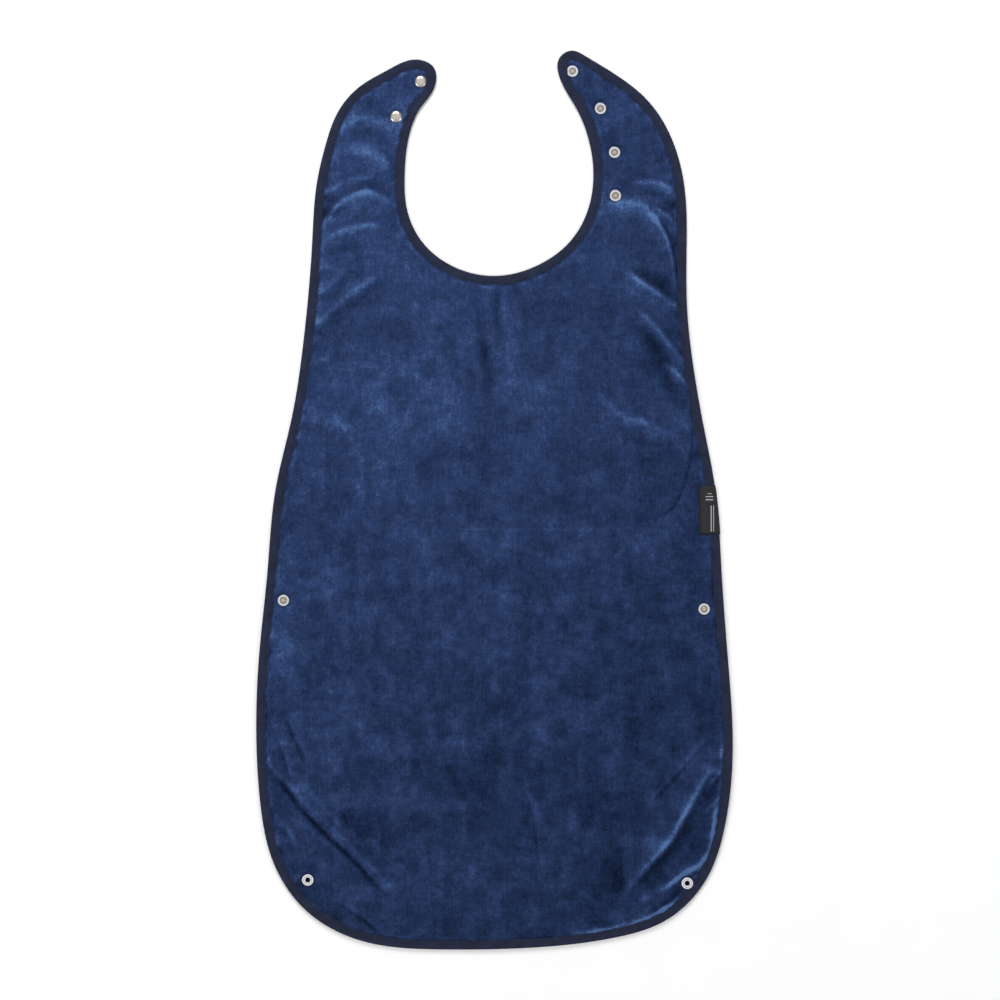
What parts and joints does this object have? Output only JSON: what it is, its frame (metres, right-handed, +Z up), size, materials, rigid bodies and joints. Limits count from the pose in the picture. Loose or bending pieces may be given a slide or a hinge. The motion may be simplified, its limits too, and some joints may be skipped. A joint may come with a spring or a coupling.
{
  "type": "bib",
  "caption": "Long towelling bib with a waterproof back and bound edge; its straps close behind the neck with snaps and its bottom edge folds up into a crumb pocket.",
  "frame": {"origin": "bottom centre of the bounding box: the middle of the outline as it lies, on the surface it lies on", "axes": "+Z up, out of the pile side; +Y along the bib from the crumb pocket to the neck; +X to the side with the label, so the strap with the studs is at +X"},
  "size_m": [0.424, 0.8, 0.005],
  "materials": {
    "velour": "deep cut pile",
    "coated_backing": "smooth waterproof coating",
    "binding_tape": "matt woven bias tape",
    "thread": "spun polyester",
    "woven_label": "fine damask weave",
    "snap_metal": "bright nickel plate",
    "spring_wire": "drawn wire"
  },
  "bodies": {
    "chest": {"chest_velour": "velour", "chest_backing": "coated_backing", "chest_left_binding": "binding_tape", "chest_left_stitching": "thread", "chest_neck_binding": "binding_tape", "chest_neck_stitching": "thread", "chest_right_binding": "binding_tape", "chest_right_stitching": "thread", "label": "woven_label", "label_stitching": "thread", "side_studs": "snap_metal", "side_caps": "snap_metal", "side_prong_rings": "snap_metal"},
    "pocket_flap": {"pocket_velour": "velour", "pocket_backing": "coated_backing", "pocket_binding": "binding_tape", "pocket_stitching": "thread", "corner_sockets": "snap_metal", "corner_springs": "spring_wire", "corner_caps": "snap_metal", "corner_prong_rings": "snap_metal"},
    "right_shoulder": {"right_shoulder_velour": "velour", "right_shoulder_backing": "coated_backing", "right_shoulder_outer_binding": "binding_tape", "right_shoulder_outer_stitching": "thread", "right_shoulder_neck_binding": "binding_tape", "right_shoulder_neck_stitching": "thread", "right_shoulder_stud": "snap_metal", "right_shoulder_cap": "snap_metal", "right_shoulder_prong_ring": "snap_metal"},
    "right_tab": {"right_tab_velour": "velour", "right_tab_backing": "coated_backing", "right_tab_binding": "binding_tape", "right_tab_stitching": "thread", "right_tab_studs": "snap_metal", "right_tab_caps": "snap_metal", "right_tab_prong_rings": "snap_metal"},
    "left_shoulder": {"left_shoulder_velour": "velour", "left_shoulder_backing": "coated_backing", "left_shoulder_outer_binding": "binding_tape", "left_shoulder_outer_stitching": "thread", "left_shoulder_neck_binding": "binding_tape", "left_shoulder_neck_stitching": "thread"},
    "left_tab": {"left_tab_velour": "velour", "left_tab_backing": "coated_backing", "left_tab_binding": "binding_tape", "left_tab_stitching": "thread", "left_tab_caps": "snap_metal", "left_tab_prong_rings": "snap_metal", "left_tab_sockets": "snap_metal", "left_tab_springs": "spring_wire"}
  },
  "joints": [
    {"name": "pocket_fold", "type": "hinge", "parent": "chest", "child": "pocket_flap", "pos_m": [0, -0.216, 0.0068], "axis": [-1, 0, 0], "range_deg": [0, 180]},
    {"name": "right_shoulder_fold", "type": "hinge", "parent": "chest", "child": "right_shoulder", "pos_m": [0.0022, 0.2862, 0.0049], "axis": [0.6428, -0.766, 0], "range_deg": [0, 61.69]},
    {"name": "right_tab_fold", "type": "hinge", "parent": "right_shoulder", "child": "right_tab", "pos_m": [0.0022, 0.2862, 0.0049], "axis": [0.9994, 0.0349, 0], "range_deg": [0, 67.25]},
    {"name": "left_shoulder_fold", "type": "hinge", "parent": "chest", "child": "left_shoulder", "pos_m": [0.0022, 0.2862, 0.0049], "axis": [0.6428, 0.766, 0], "range_deg": [0, 66.39]},
    {"name": "left_tab_fold", "type": "hinge", "parent": "left_shoulder", "child": "left_tab", "pos_m": [0.0022, 0.2862, 0.0049], "axis": [0.9994, -0.0349, 0], "range_deg": [0, 67.31]}
  ],
  "couplings": [
    {"joint": "right_tab_fold", "follows": "right_shoulder_fold", "ratio": 1.0901},
    {"joint": "left_tab_fold", "follows": "left_shoulder_fold", "ratio": 1.0138}
  ]
}
